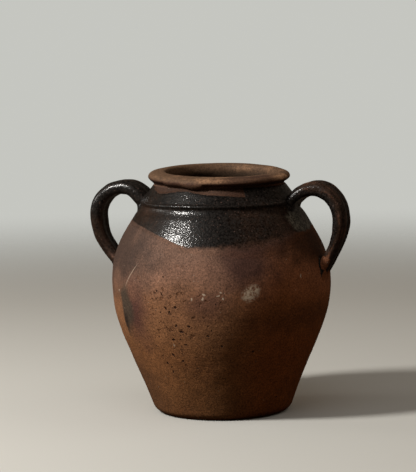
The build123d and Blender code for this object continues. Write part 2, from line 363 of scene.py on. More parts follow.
# Over which degrees the rim grows paler from the left, as painted light, and the strip under the lip paler
# to the right
RIM_PALER = (-40.0, -20.0)
STRIP_PALER = (-8.0, 12.0)
# How pale the rim is at least, and how much paler painted light makes it from the left on, on the right, on
# the right's outer face and in front
RIM_PALE_LEAST = 0.1
RIM_PALER_BY = 0.1
RIM_RIGHT_BY = 0.08
RIM_FACE_BY = 0.72
RIM_FRONT_BY = 0.1
STRIP_PALER_BY = 0.3
SMEAR_PALER_BY = 0.7

# The clay's colour up the pot: heights, and the colour there
CLAY_BANDS = (
    (0.0, (0.18, 0.072, 0.025)),
    (15.0, (0.21, 0.087, 0.03)),
    (45.0, (0.258, 0.108, 0.039)),
    (75.0, (0.278, 0.115, 0.043)),
    (110.0, (0.298, 0.132, 0.056)),
    (135.0, (0.265, 0.12, 0.057)),
    (165.0, (0.26, 0.13, 0.081)),
    (190.0, (0.215, 0.115, 0.076)),
    (280.0, (0.2, 0.11, 0.072)),
)
RIGHT_TINT = (1.1, 0.78, 0.52)
# How far the bands waver up and down, in metres, how noise shades the clay, and how rough it is
BAND_WAVER = 0.03
CLOUD_SHADES = (0.85, 1.15)
MOTTLE_SHADES = (0.6, 1.4)
GRAIN_SHADES = (-0.35, 2.35)
CLAY_ROUGH = (0.6, 0.9)
STRAP_CLAY_ROUGH = 0.8
CLAY_SHINE = 0.25
SPECK = (0.045, 0.022, 0.013)
PALE_SPECK = (0.42, 0.3, 0.22)
# painted shade in the pits' hollows
PIT_SHADE = (0.036, 0.012, 0.004)
DIMPLE = (0.12, 0.045, 0.016)
CHALK = (0.6, 0.46, 0.34)
SCUFFED = (0.62, 0.47, 0.33)
RIM_PALE = (0.42, 0.228, 0.122)
RIM_DARK = (0.12, 0.066, 0.036)
# How much of a colour these marks take on at most, and over which noise the rim is pale, curled cracks
# are found and drawn, pits have their edge and the scuff is broken
FINE_SPECK_SHARE = 0.55
DARK_SPECK_SHARE = 0.6
DIMPLE_SHARE = 0.8
FLECK_SHARE = 0.9
SCRATCH_SHARE = 0.6
PINHOLE_SHARE = 0.7
RIM_MOTTLED = (0.65, 1.2)
CURL_FOUND = (0.58, 0.66)
CURL_WIDTH = (0.025, 0.008)
PIT_EDGE = (0.1, 0.8)
SCUFF_BROKEN = (0.36, 0.6)
# Paints of the fire, the stacking and use, and painted shade: the mark's name, its colour, and the share at
# its fullest
PAINTS = (
    # painted shade low on the left side
    ("low_left_shade", (0.12, 0.05, 0.02), 0.8),
    # painted shade on the right of the belly, on the side turned from the light
    ("dusk_shade", (0.1, 0.034, 0.011), 0.55),
    ("haze", (0.05, 0.022, 0.014), 0.85),
    # painted shade on the right shoulder by the right handle, on the side turned from the light
    ("shade", (0.055, 0.02, 0.009), 0.85),
    ("smoke", (0.06, 0.034, 0.024), 0.97),
    ("flash", (0.07, 0.03, 0.022), 0.9),
    ("halo", (0.105, 0.042, 0.031), 0.95),
    ("bruise", (0.07, 0.048, 0.032), 0.95),
    # a scorch where another pot stood, and painted shade in the crevice beside the right handle
    ("scorch_and_crevice_shade", (0.03, 0.018, 0.012), 0.9),
    ("strip", (0.05, 0.023, 0.013), 1.0),
    # painted shade under the lip
    ("under", (0.06, 0.023, 0.013), 0.9),
    # darker clay inside, with painted shade deeper in the mouth
    ("inside", (0.042, 0.024, 0.013), 0.95),
)

# Noise in the clay and the glaze: changes in a metre, detail and roughness
CLAY_CLOUD = (15.0, 4.0, 0.55)
CLAY_MOTTLE = (75.0, 4.0, 0.6)
CLAY_GRAIN = (520.0, 3.0, 0.7)
CLAY_UNEVEN = (90.0, 4.0, 0.6)
CLAY_SAND = (600.0, 3.0, 0.7)
CLAY_SHEEN = (60.0, 3.0, 0.55)
CURL = (150.0, 2.0, 0.5)
CURL_PLACES = (55.0, 2.0, 0.55)
SCUFF_BREAKS = (330.0, 3.0, 0.7)
GLAZE_MOTTLE = (150.0, 4.0, 0.65)
GLAZE_GRAIN = (410.0, 3.0, 0.7)
GLAZE_PEEL = (360.0, 2.0, 0.5)
GLAZE_RELIEF = (560.0, 2.0, 0.6)
# How deep the relief is, in millimetres
UNEVEN_DEPTH = 0.6
SAND_DEPTH = 0.35
DIMPLE_DEPTH = 0.45
PIT_DEPTH = 0.5
PEEL_DEPTH = 0.2
GLAZE_RELIEF_DEPTH = 0.34
# What shakes the places of marks: changes in a metre, and the amount in millimetres
SPECK_SHAKE = (500.0, 1.5)
PIT_SHAKE = (330.0, 2.4)
DIMPLE_SHAKE = (200.0, 9.0)
CHIP_SHAKE = (400.0, 4.0)
# Specks: cells in a metre, the size as a share of a cell, and the share of cells that have one
FINE_SPECKS = (620.0, 0.4, 0.3)
DARK_SPECKS = (330.0, 0.26, 0.3)
PALE_SPECKS = (210.0, 0.14, 0.08)
FEW_PITS = (120.0, 0.13, 0.03)
MANY_PITS = (190.0, 0.2, 0.3)
DIMPLES = (118.0, 0.3, 0.5)
PINHOLES = (400.0, 0.28, 0.45)

# The glaze: thick, thin, thinnest, and under ash
GLAZE_BLACK = (0.009, 0.0072, 0.0062)
GLAZE_BROWN = (0.027, 0.0138, 0.0078)
GLAZE_THIN = (0.1, 0.054, 0.04)
ASH = (0.13, 0.11, 0.08)
GLAZE_SHINE = 0.16
GLAZE_ROUGH = 0.43
BARE_ROUGH = 0.75
SHOULDER_SHINE = 0.68
STRAP_SHINE = 1.0
SHOULDER_COAT_ROUGH = 0.115
STRAP_COAT_ROUGH = 0.23
# What the grain does to the glaze: where its peaks begin and end, and the shade and the shine in its
# hollows and peaks
GRAIN_PEAKS = (0.36, 0.62)
PEAK_SHADES = (0.15, 1.9)
PEAK_SHINE = (0.25, 1.45)
THIN_SHINE = 0.25
# How much the mottle and the grain change the coat, its edge and its cover, and at how much of it the
# glaze is brown, is thinnest, and covers the clay
FILM_MOTTLED = 0.4
FILM_GRAINY = 1.0
EDGE_GRAINY = 0.4
COVER_GRAINY = 0.35
FILM_BROWN = (0.95, 0.3)
FILM_THINNEST = (0.4, 0.1)
FILM_COVERS = (0.05, 0.35)
ASH_MOTTLED = (0.4, 1.1)

# The stage and its light, in metres
FLOOR_PALE = (0.62, 0.61, 0.57)
FLOOR_BOUNCE = (0.05, 0.035, 0.022)
FLOOR_HALF = 3.0
FLOOR_ROUGH = 0.9
FLOOR_FADE = (2.6, 0.9)
BACKGROUND = (0.56, 0.565, 0.53, 1.0)
AMBIENT = (0.055, 0.044, 0.033, 1.0)
BEHIND_TIMES = 5.0
LAMP_DISTANCE = 2.2
# Lamps: degrees around, elevation, width in metres, watts, colour, and whether the glaze mirrors it
LAMPS = {
    "key": (-45.5, 39.5, 0.4, 47.0, (1.0, 0.97, 0.92), True),
    "front": (10.0, 60.0, 1.6, 6.0, (0.9, 0.95, 1.0), False),
    "window": (-85.0, 18.0, 0.6, 4.0, (1.0, 0.97, 0.92), True),
    "side": (104.0, 45.0, 1.6, 4.5, (1.0, 0.9, 0.78), False),
}


class Handle(NamedTuple):
    """How one strap leaves the neck, loops and joins the shoulder. Lengths in millimetres, angles in
    degrees. Front is the sign of its sideways direction that points to the front, thickness is at the
    five named sections, thin_side is where around its section the glaze is thin, thin_from is the share
    of its length from which its front is thinly glazed too, and bare is 1 for a tail that was left bare,
    or else 0."""

    angle: float
    front: float
    root_share: float
    leave: float
    top_out: float
    rise: float
    standoff: float
    side_share: float
    low_share: float
    join: float
    leave_pull_share: float
    join_pull_share: float
    thickness: tuple
    thin_side: float
    thin_from: float
    bare: float


HANDLES = {
    "left": Handle(
        angle=-87.9, front=1.0, root_share=0.03, leave=41.4, top_out=24.2, rise=14.1, standoff=20.4,
        side_share=0.39, low_share=0.25, join=50.5, leave_pull_share=0.31, join_pull_share=0.41,
        thickness=(19.4, 16.6, 17.1, 15.9, 14.6), thin_side=170.0, thin_from=0.5, bare=0.0,
    ),
    "right": Handle(
        angle=88.4, front=-1.0, root_share=0.02, leave=39.5, top_out=27.7, rise=13.7, standoff=19.5,
        side_share=0.40, low_share=0.21, join=51.8, leave_pull_share=0.28, join_pull_share=0.33,
        thickness=(14.1, 19.0, 16.9, 13.5, 16.9), thin_side=105.0, thin_from=0.68, bare=1.0,
    ),
}


def smooth_step(low, high, value):
    """0 below low, 1 above high, and a cubic ease between them."""
    part = np.clip((value - low) / (high - low), 0.0, 1.0)
    return part * part * (3.0 - 2.0 * part)


def between(start, full, fading, end, value):
    """0 outside start and end, 1 from full to fading, and a cubic ease between them."""
    return smooth_step(start, full, value) * smooth_step(end, fading, value)


def bell(distance):
    """1 at no distance, falling off as the exponential of minus its square."""
    return np.exp(-(distance**2))


def smooth_noise(points, size, seed):
    """Smooth random values from -1 to 1: a lattice of random numbers, size apart, blended by a cubic
    ease."""
    count = 64
    lattice = np.random.default_rng(seed).uniform(-1.0, 1.0, (count, count, count))
    cell = np.floor(points / size).astype(int)
    part = points / size - cell
    part = part * part * (3.0 - 2.0 * part)
    total = np.zeros(points.shape[:-1])
    for corner in np.ndindex(2, 2, 2):
        weight = np.prod(np.where(np.array(corner) == 1, part, 1.0 - part), axis=-1)
        i, j, k = np.moveaxis((cell + corner) % count, -1, 0)
        total += weight * lattice[i, j, k]
    return total


def uneven(points, amount, size, seed):
    """Smooth noise by up to an amount either way."""
    return amount * smooth_noise(points, size, seed)


def straight(start, end, count):
    """Points at even steps along a straight line."""
    return np.linspace(start, end, count)


def bezier(start, start_pull, end_pull, end, count):
    """Points of a cubic Bezier curve at even steps of its parameter."""
    t = np.linspace(0.0, 1.0, count)[:, None]
    return (
        (1 - t) ** 3 * np.array(start)
        + 3 * t * (1 - t) ** 2 * np.array(start_pull)
        + 3 * t**2 * (1 - t) * np.array(end_pull)
        + t**3 * np.array(end)
    )


def round_corner(start, corner, end, count):
    """Points of a quadratic curve that leaves start towards corner and arrives at end from it."""
    t = np.linspace(0.0, 1.0, count)[:, None]
    return (1 - t) ** 2 * np.array(start) + 2 * t * (1 - t) * np.array(corner) + t**2 * np.array(end)


def joined(stretches):
    """Stretches of an outline as one, without the first point of each that repeats the last of the one
    before."""
    return np.concatenate([stretches[0]] + [stretch[1:] for stretch in stretches[1:]])


def wall_curve(inset, heel_radius, heel_height, count):
    """Radius and height along the lower wall, from the heel up to the belly."""
    rise = BELLY_HEIGHT - heel_height
    belly = BELLY_RADIUS - inset
    pull = HEEL_PULL_SHARE * rise
    return bezier(
        (heel_radius, heel_height),
        (heel_radius + pull * math.sin(WALL_LEAN), heel_height + pull * math.cos(WALL_LEAN)),
        (belly, BELLY_HEIGHT - BELLY_PULL_BELOW_SHARE * rise),
        (belly, BELLY_HEIGHT),
        count,
    )


def shoulder_curve(inset, count):
    """Radius and height along the shoulder, from the belly up to the cordon."""
    rise = CORDON_BASE - BELLY_HEIGHT
    belly, top = BELLY_RADIUS - inset, SHOULDER_TOP_RADIUS - inset
    pull = SHOULDER_PULL_SHARE * rise
    return bezier(
        (belly, BELLY_HEIGHT),
        (belly, BELLY_HEIGHT + BELLY_PULL_ABOVE_SHARE * rise),
        (top + pull * math.sin(SHOULDER_LEAN), CORDON_BASE - pull * math.cos(SHOULDER_LEAN)),
        (top, CORDON_BASE),
        count,
    )


def outside_outline():
    """Radius and height of the outside, row by row: under the foot, round the heel, up the wall and the
    shoulder, over the cordon, up the neck and over the lip to its crown."""
    heel_curve = (HEEL_OUT**2 + HEEL_HEIGHT**2) / (2 * HEEL_HEIGHT)
    swing = np.linspace(0.0, math.acos(1.0 - HEEL_HEIGHT / heel_curve), 8)
    heel = np.stack([FOOT_RADIUS + heel_curve * np.sin(swing), heel_curve * (1.0 - np.cos(swing))], axis=1)
    cordon = straight((SHOULDER_TOP_RADIUS, CORDON_BASE), (NECK_BASE_RADIUS, CORDON_TOP), 10)
    lip_under = bezier(
        (NECK_RADIUS, NECK_TOP),
        (NECK_RADIUS, NECK_TOP + LIP_UNDER_SHARE * (LIP_EDGE_HEIGHT - NECK_TOP)),
        (LIP_RADIUS, LIP_EDGE_HEIGHT - LIP_UNDER_SHARE * (LIP_EDGE_HEIGHT - NECK_TOP)),
        (LIP_RADIUS, LIP_EDGE_HEIGHT),
        11,
    )
    lip_over = bezier(
        (LIP_RADIUS, LIP_EDGE_HEIGHT),
        (LIP_RADIUS, LIP_EDGE_HEIGHT + LIP_ROUND_SHARE * LIP_EDGE_DROP),
        (LIP_CROWN_RADIUS + LIP_ROUND_SHARE * (LIP_RADIUS - LIP_CROWN_RADIUS), HEIGHT),
        (LIP_CROWN_RADIUS, HEIGHT),
        14,
    )
    return joined(
        [
            straight((FOOT_RADIUS / 4, 0.0), (FOOT_RADIUS, 0.0), 4),
            heel,
            wall_curve(0.0, HEEL_RADIUS, HEEL_HEIGHT, 76),
            shoulder_curve(0.0, 51),
            cordon,
            straight((NECK_BASE_RADIUS, CORDON_TOP), (NECK_RADIUS, NECK_TOP), 21),
            lip_under,
            lip_over,
        ]
    )


def inside_outline():
    """Radius and height of the inside, row by row: over the rest of the crown, into the mouth, down the
    wall and along the floor towards the axis."""
    round_start, land_start = (MOUTH_RADIUS + MOUTH_ROUND, HEIGHT), (MOUTH_RADIUS, HEIGHT - MOUTH_ROUND)
    land_end = (MOUTH_RADIUS, HEIGHT - MOUTH_ROUND - MOUTH_LAND)
    shoulder = shoulder_curve(WALL, 14)[::-1]
    wall = wall_curve(WALL, INNER_HEEL_RADIUS, INNER_HEEL_HEIGHT, 18)[::-1]
    floor_edge = (INNER_HEEL_RADIUS - FLOOR_CORNER, FLOOR)
    stretches = [
        straight((LIP_CROWN_RADIUS, HEIGHT), round_start, 3),
        round_corner(round_start, (MOUTH_RADIUS, HEIGHT), land_start, 6),
        straight(land_start, land_end, 4),
        straight(land_end, shoulder[0], 7),
        shoulder,
        wall,
        round_corner(wall[-1], (INNER_HEEL_RADIUS, FLOOR), floor_edge, 6),
        straight(floor_edge, (FLOOR_CORNER, FLOOR), 5),
    ]
    return joined(stretches)[1:]


def outline_normals(outline):
    """Unit normals of an outline, out of the clay: its direction turned by a right angle."""
    along = np.gradient(outline, axis=0)
    normals = np.stack([along[:, 1], -along[:, 0]], axis=1)
    return normals / np.linalg.norm(normals, axis=1, keepdims=True)


def column_angles():
    """Angles of the columns: the running sum of a density that is raised around the side that is seen
    first."""
    fine = np.linspace(VIEW_ANGLE - math.pi, VIEW_ANGLE + math.pi, 4001)
    density = 1.0 + FRONT_EXTRA * np.exp(-(((fine - VIEW_ANGLE) / FRONT_SPREAD) ** 4))
    run = np.cumsum(density)
    run = (run - run[0]) / (run[-1] - run[0])
    return np.interp(np.arange(COLUMNS) / COLUMNS, run, fine)


OUTSIDE = outside_outline()
OUTLINE = np.concatenate([OUTSIDE, inside_outline()])
NORMALS = outline_normals(OUTLINE)
HEIGHTS = OUTLINE[:, 1:]
IS_OUT = (np.arange(len(OUTLINE)) < len(OUTSIDE))[:, None]
ANGLES = column_angles()
DEGREES = (np.degrees(ANGLES) + 180.0) % 360.0 - 180.0


def turned(radius, angle, height):
    """Points at these radii, angles and heights around the pot's axis."""
    radius, angle, height = np.broadcast_arrays(radius, angle, height)
    return np.stack([radius * np.sin(angle), -radius * np.cos(angle), height], axis=-1)


def smeared():
    """From 0 to 1, how much of the smear under the lip lies at each point."""
    ends = between(
        SMEAR_FROM - SMEAR_END, SMEAR_FROM + SMEAR_END, SMEAR_TO - SMEAR_END, SMEAR_TO + SMEAR_END, DEGREES
    )
    lump = bell((DEGREES - SMEAR_THICKEST) / SMEAR_THICK_HALF)
    thick = SMEAR_THIN_SHARE + (1.0 - SMEAR_THIN_SHARE) * lump
    return np.where(IS_OUT, ends * thick * bell((HEIGHTS - SMEAR_HEIGHT) / SMEAR_HALF_HEIGHT), 0.0)


def thrown_lumps():
    """How far the clay stands out from its outline: slow and quick lumps, throwing rings that climb as a
    spiral, the cordon and the hollow under it, and the smear under the lip. The foot stays flat."""
    points = turned(OUTLINE[:, :1], ANGLES, HEIGHTS)
    lumps = uneven(points, *SLOW_LUMPS)
    lumps += uneven(points, *QUICK_LUMPS)
    spiral = 2.0 * math.pi * HEIGHTS / np.where(IS_OUT, RING_PITCH, INNER_RING_PITCH) + ANGLES
    outer_rings = RING_DEPTH * smooth_step(CORDON_BASE, CORDON_BASE - RING_FADE, HEIGHTS)
    change = RING_MEAN + uneven(points, *RING_CHANGE)
    rings = np.where(IS_OUT, outer_rings, INNER_RING_DEPTH) * change
    lumps += rings * np.sin(spiral) * smooth_step(0.0, RING_START, HEIGHTS)
    hollow = HOLLOW_DEPTH * bell((HEIGHTS - CORDON_BASE + HOLLOW_DROP) / HOLLOW_WIDTH)
    cordon = CORDON_PROUD * np.cos(np.clip((HEIGHTS - CORDON_MIDDLE) / CORDON_WIDTH, -0.5, 0.5) * math.pi)
    lumps += np.where(IS_OUT, SMEAR_PROUD * smeared() + cordon - hollow, 0.0)
    foot = smooth_step(0.0, FOOT_EASE, HEIGHTS)
    floor = smooth_step(FLOOR - 1.0, FLOOR + FLOOR_EASE, HEIGHTS)
    return lumps * np.where(IS_OUT, foot, floor)


def rim_lift():
    """How far the lip is raised around a rim that isn't level: a cosine around the pot, full from the
    lip's edge up, fading out down to the neck outside and some way down inside."""
    fade_out = smooth_step(NECK_TOP, LIP_EDGE_HEIGHT, HEIGHTS)
    fade_in = smooth_step(HEIGHT - RIM_FADE, HEIGHT - MOUTH_ROUND, HEIGHTS)
    return -RIM_TILT * np.cos(ANGLES - RIM_LOW_SIDE) * np.where(IS_OUT, fade_out, fade_in)


def mouth_shift():
    """How far the mouth stands off the middle across the view, row by row: fully at the mouth, fading out
    below."""
    fade_in = smooth_step(HEIGHT - RIM_FADE, HEIGHT - MOUTH_ROUND, HEIGHTS)
    return MOUTH_ACROSS * np.where(IS_OUT, 0.0, fade_in)


LUMPS = thrown_lumps()
LIFT = rim_lift()
SHIFT = mouth_shift()


def skin(rows, offset):
    """Points of the thrown clay at these rows of the outline, offset further out: the outline turned
    about the axis, moved along its normal by the lumps, with an axis that wanders a little to and fro
    across the view."""
    out = LUMPS[rows] + offset
    radius = OUTLINE[rows, 0, None] + out * NORMALS[rows, 0, None]
    height = OUTLINE[rows, 1, None] + out * NORMALS[rows, 1, None] + LIFT[rows]
    wander = np.interp(height, WANDER_HEIGHTS, WANDER) + SHIFT[rows]
    across = np.array([math.cos(VIEW_ANGLE), math.sin(VIEW_ANGLE), 0.0])
    return turned(radius, ANGLES, height) + wander[..., None] * across


def wall_radius(height):
    """Outside radius of the plain outline at a height between the heel and the lip."""
    climb = OUTSIDE[4 : np.argmax(OUTSIDE[:, 1] >= NECK_TOP) + 1]
    return np.interp(height, climb[:, 1], climb[:, 0])


def grid_mesh(name, grid, ends, finish, attributes):
    """An object whose mesh is a grid of points, rows by columns by 3. The columns close round. The rows
    either end in one point at each end, with ends as 'points', or join last to first, with ends as
    'ring'."""
    rows, columns = grid.shape[:2]
    index = np.arange(rows * columns).reshape(rows, columns)
    points = grid.reshape(-1, 3)
    upper = np.roll(index, -1, axis=0)
    if ends == "points":
        index, upper = index[:-1], upper[:-1]
    loop = [index, np.roll(index, -1, axis=1), np.roll(upper, -1, axis=1), upper]
    quads = np.stack(loop, axis=-1).reshape(-1, 4)
    fans = np.empty((0, 3), dtype=int)
    if ends == "points":
        first, last = np.arange(columns), np.arange(columns) + (rows - 1) * columns
        bottom, top = np.full(columns, rows * columns), np.full(columns, rows * columns + 1)
        fans = np.concatenate(
            [
                np.stack([bottom, np.roll(first, -1), first], axis=-1),
                np.stack([last, np.roll(last, -1), top], axis=-1),
            ]
        )
        points = np.concatenate([points, grid[:1].mean(axis=1), grid[-1:].mean(axis=1)])
    corners = points[quads]
    volume = np.sum(np.cross(corners[:, 0], corners[:, 1]) * corners[:, 2])
    volume += np.sum(np.cross(corners[:, 0], corners[:, 2]) * corners[:, 3])
    if volume < 0.0:
        quads, fans = quads[:, ::-1], fans[:, ::-1]
    mesh = bpy.data.meshes.new(name)
    mesh.from_pydata((points * MM).tolist(), [], quads.tolist() + fans.tolist())
    mesh.shade_smooth()
    for key, values in attributes.items():
        layer = mesh.attributes.new(key, "FLOAT", "POINT")
        spare = np.zeros(len(points) - values.size)
        layer.data.foreach_set("value", np.concatenate([values.ravel(), spare]))
    mesh.materials.append(finish)
    piece = bpy.data.objects.new(name, mesh)
    bpy.context.collection.objects.link(piece)
    return piece


def eased(share, values):
    """A size at a share of the strap's length, easing from each named section to the next."""
    stops = np.array((values[0], *values, values[-1]))
    i = np.clip(np.searchsorted(SECTION_SHARES, share, side="right") - 1, 0, len(SECTION_SHARES) - 2)
    part = smooth_step(SECTION_SHARES[i], SECTION_SHARES[i + 1], share)
    return stops[i] + part * (stops[i + 1] - stops[i])


def point_along(curve, share):
    """The point at a share of a curve's length."""
    steps = np.linalg.norm(np.diff(curve, axis=0), axis=1)
    run = np.concatenate([[0.0], np.cumsum(steps)]) / np.sum(steps)
    return np.stack([np.interp(share, run, curve[:, 0]), np.interp(share, run, curve[:, 1])], axis=-1)


def strap_line(handle):
    """Middle line of a strap, as radius and height: out of the neck, over the top, down the side and into
    the wall."""
    leave = np.array((math.cos(math.radians(handle.leave)), math.sin(math.radians(handle.leave))))
    join = -np.array((math.cos(math.radians(handle.join)), math.sin(math.radians(handle.join))))
    out, up = np.array((1.0, 0.0)), np.array((0.0, 1.0))
    neck = straight((NECK_BASE_RADIUS, CORDON_TOP), (NECK_RADIUS, NECK_TOP), 2)
    upper = point_along(neck, handle.root_share)
    lower = point_along(shoulder_curve(0.0, 200), handle.low_share)
    top = upper + np.array((handle.top_out, handle.rise))
    side = np.array((BELLY_RADIUS + handle.standoff, top[1] - handle.side_share * (top[1] - lower[1])))
    leave_pull = handle.leave_pull_share * np.linalg.norm(top - upper)
    join_pull = handle.join_pull_share * np.linalg.norm(side - lower)
    count = 60
    return joined(
        [
            straight(upper - leave * UPPER_BURY, upper, count),
            bezier(
                upper,
                upper + leave * leave_pull,
                top - out * ROUND_PULL_SHARE * handle.top_out,
                top,
                count,
            ),
            bezier(
                top,
                top + out * ROUND_PULL_SHARE * (side[0] - top[0]),
                side + up * ROUND_PULL_SHARE * (top[1] - side[1]),
                side,
                count,
            ),
            bezier(side, side - up * join_pull, lower - join * join_pull, lower, count),
            straight(lower, lower + join * LOWER_BURY, count),
        ]
    )


def signed_power(value, power):
    """A power of the value's size that keeps its sign."""
    return np.sign(value) * np.abs(value) ** power


def strap(handle, shares, grow):
    """Points of a strap at these shares of its line, one row each, grown by grow. The section is a
    rounded oblong, a power of cosine by a power of sine, with two ridges and a groove on its outer face
    and a channel inside. What would pass through the pot's wall stops just under its skin."""
    line = strap_line(handle)
    middle = point_along(line, shares)
    ahead = point_along(line, np.minimum(shares + LINE_STEP, 1.0))
    behind = point_along(line, np.maximum(shares - LINE_STEP, 0.0))
    along = (ahead - behind) / np.linalg.norm(ahead - behind, axis=-1, keepdims=True)
    half_width = eased(shares, STRAP_WIDTHS) / 2.0
    half_thick = eased(shares, handle.thickness) / 2.0
    cos, sin = np.cos(STRAP_ANGLES), np.sin(STRAP_ANGLES)
    across = signed_power(cos, SECTION_POWER)
    ridges = RIDGE_SHARE * bell((np.abs(across) - RIDGE_PLACE) / RIDGE_HALF)
    ridges -= GROOVE_SHARE * bell(across / GROOVE_HALF)
    channel = CHANNEL_SHARE * bell((across - CHANNEL_PLACE * handle.front) / CHANNEL_HALF)
    faces = smooth_step(0.0, FACE_EASE, sin) * ridges + smooth_step(0.0, FACE_EASE, -sin) * channel
    x = half_width * across
    y = half_thick * (signed_power(sin, SECTION_POWER) + faces)
    facing = np.stack(np.broadcast_arrays(cos * half_thick, sin * half_width), axis=-1)
    facing = facing / np.linalg.norm(facing, axis=-1, keepdims=True)
    spot = np.stack(np.broadcast_arrays(x, y, STRAP_LENGTH * shares + handle.angle), axis=-1)
    lump = STRAP_LUMP * (smooth_noise(spot, *STRAP_LUMP_NOISE) + uneven(spot, *STRAP_FINE))
    sway = STRAP_SWAY * np.sin(2.0 * math.pi * shares + handle.angle)
    x = x + (grow + lump) * facing[..., 0] + sway
    y = y + (grow + lump) * facing[..., 1]
    radial = middle[..., 0] - y * along[..., 1]
    height = middle[..., 1] + y * along[..., 0]
    turn = math.radians(handle.angle)
    points = np.stack(
        [
            radial * math.sin(turn) + x * math.cos(turn),
            -radial * math.cos(turn) + x * math.sin(turn),
            height,
        ],
        axis=-1,
    )
    distance = np.hypot(points[..., 0], points[..., 1])
    least = wall_radius(height) - BURY
    points[..., :2] *= np.maximum(1.0, least / distance)[..., None]
    return points


def root_shares(handle, root):
    """Where each line along the strap comes out of the wall: the share at which its distance from the
    pot's axis first passes the wall's radius, from the buried end on."""
    shares = np.linspace(*ROOT_SEARCH[root])
    points = strap(handle, shares[:, None], 0.0)
    clear = np.hypot(points[..., 0], points[..., 1]) - wall_radius(points[..., 2])
    first = np.maximum(np.argmax(clear > 0.0, axis=0), 1)
    columns = np.arange(STRAP_COLUMNS)
    before, after = clear[first - 1, columns], clear[first, columns]
    return shares[first - 1] + (shares[first] - shares[first - 1]) * before / (before - after)


def wall_normals(points):
    """Unit normals of the plain outside at points on it."""
    rows = slice(4, np.argmax(OUTSIDE[:, 1] >= NECK_TOP))
    x, y, height = np.moveaxis(points, -1, 0)
    radial = np.interp(height, OUTSIDE[rows, 1], NORMALS[rows, 0])
    rise = np.interp(height, OUTSIDE[rows, 1], NORMALS[rows, 1])
    distance = np.hypot(x, y)
    normals = np.stack([radial * x / distance, radial * y / distance, rise], axis=-1)
    return normals / np.linalg.norm(normals, axis=-1, keepdims=True)


def slip_fillet(handle, root):
    """The slip around a root, a ring of curves: each leaves the strap, bends at the line where strap and
    wall meet, and runs out on the wall. It reaches further where it was pressed into the corner under the
    upper root and drawn down from the lower one. A row inside the wall closes it underneath."""
    shares = root_shares(handle, root)
    lower_side = np.sin(STRAP_ANGLES) if root == "lower" else -np.sin(STRAP_ANGLES)
    pressed = smooth_step(*SLIP_PRESSED, lower_side)
    out, up_extra, out_extra = SLIP_OUT, SLIP_UP_EXTRA, SLIP_OUT_EXTRA
    if root == "lower":
        out, up_extra, out_extra = DRAWN_OUT, DRAWN_UP_EXTRA, DRAWN_OUT_EXTRA
    up = SLIP_UP_SHARE + up_extra * pressed
    meeting = strap(handle, shares[None], 0.0)[0]
    on_strap = strap(handle, shares[None] + (up if root == "upper" else -up), -SLIP_SUNK)[0]
    normal = wall_normals(meeting)
    along = np.roll(meeting, -1, axis=0) - np.roll(meeting, 1, axis=0)
    away = np.cross(along, normal)
    away = away / np.linalg.norm(away, axis=-1, keepdims=True)
    away *= np.sign(np.sum(away * (meeting - meeting.mean(axis=0))))
    reach = (out + out_extra * pressed) * (1.0 + uneven(meeting, *SLIP_WAVER))
    on_wall = meeting + reach[:, None] * away
    distance = np.hypot(on_wall[:, 0], on_wall[:, 1])
    on_wall[:, :2] *= ((wall_radius(on_wall[:, 2]) - SLIP_DIVE) / distance)[:, None]
    t = np.linspace(0.0, 1.0, SLIP_ROWS)[:, None, None]
    top = (1 - t) ** 2 * on_strap + 2 * t * (1 - t) * meeting + t**2 * on_wall
    under = (meeting - BURY / 2 * normal)[None]
    return np.concatenate([top, under])


def slip_film(handle, root):
    """How much glaze lies on the slip, row by row from the strap to the wall: all over at an upper root,
    thinning out towards the wall at a lower one, and only in the crevice at its front where the tail was
    left bare, where the dark glaze stands in partly for painted shade."""
    t = np.append(np.linspace(0.0, 1.0, SLIP_ROWS), 1.0)[:, None]
    if root == "upper":
        return np.full((SLIP_ROWS + 1, STRAP_COLUMNS), UPPER_SLIP_FILM)
    thinning = LOWER_SLIP_FILM * smooth_step(*SLIP_THINNING, t)
    # glaze in the crevice in front of the bare tail, dark partly as painted shade
    crevice = smooth_step(*CREVICE_AROUND, np.cos(STRAP_ANGLES - CREVICE_SIDE))
    crevice = smooth_step(*CREVICE_ACROSS, t) * crevice
    tail = handle.bare * smooth_step(*BARE_SLIP_AROUND, np.cos(STRAP_ANGLES - BARE_SLIP_SIDE))
    return np.maximum(thinning * (1.0 - tail), handle.bare * crevice)


def around(table):
    """Values of a table of angle and value, at the columns' angles."""
    angles, values = np.array(table).T
    return np.interp(DEGREES, angles, values)


def missed_by(points, height):
    """How deep each point lies in the bare strip under the lip, in millimetres, and less than 0 outside
    it."""
    low = around(BARE_STRIP) + uneven(points, *STRIP_UNEVEN)
    start, end = (DEGREES - STRIP_START) * MM_PER_DEGREE, (STRIP_END - DEGREES) * MM_PER_DEGREE
    return np.minimum(height - low, np.minimum(start, end))


def under_edge(points, height):
    """How far each point lies under the full coat, in widths of the dip line's edge: 0 where the coat is
    full, 1 where it ends. The broader the edge, the more ragged it is."""
    feather = around(DIP_FEATHER)
    ragged = uneven(points, *DIP_COARSE) + uneven(points, *DIP_FINE)
    ragged = ragged * np.clip(feather / 2.0 - DIP_SMOOTH, *DIP_RAGGED)
    over = height - around(DIP_LINE) + DIP_UNDER_SHARE * feather + ragged
    return 1.0 - over / feather


def patch(points, degrees, height, half_degrees, half_height, soft, seed):
    """A soft mark on the body, from 1 in its middle to 0 outside: an oval whose outline is broken up by
    noise."""
    spread = np.hypot((DEGREES - degrees) / half_degrees, (HEIGHTS - height) / half_height)
    return smooth_step(1.0 + soft, 1.0 - soft, spread + uneven(points, *PATCH_UNEVEN, seed))


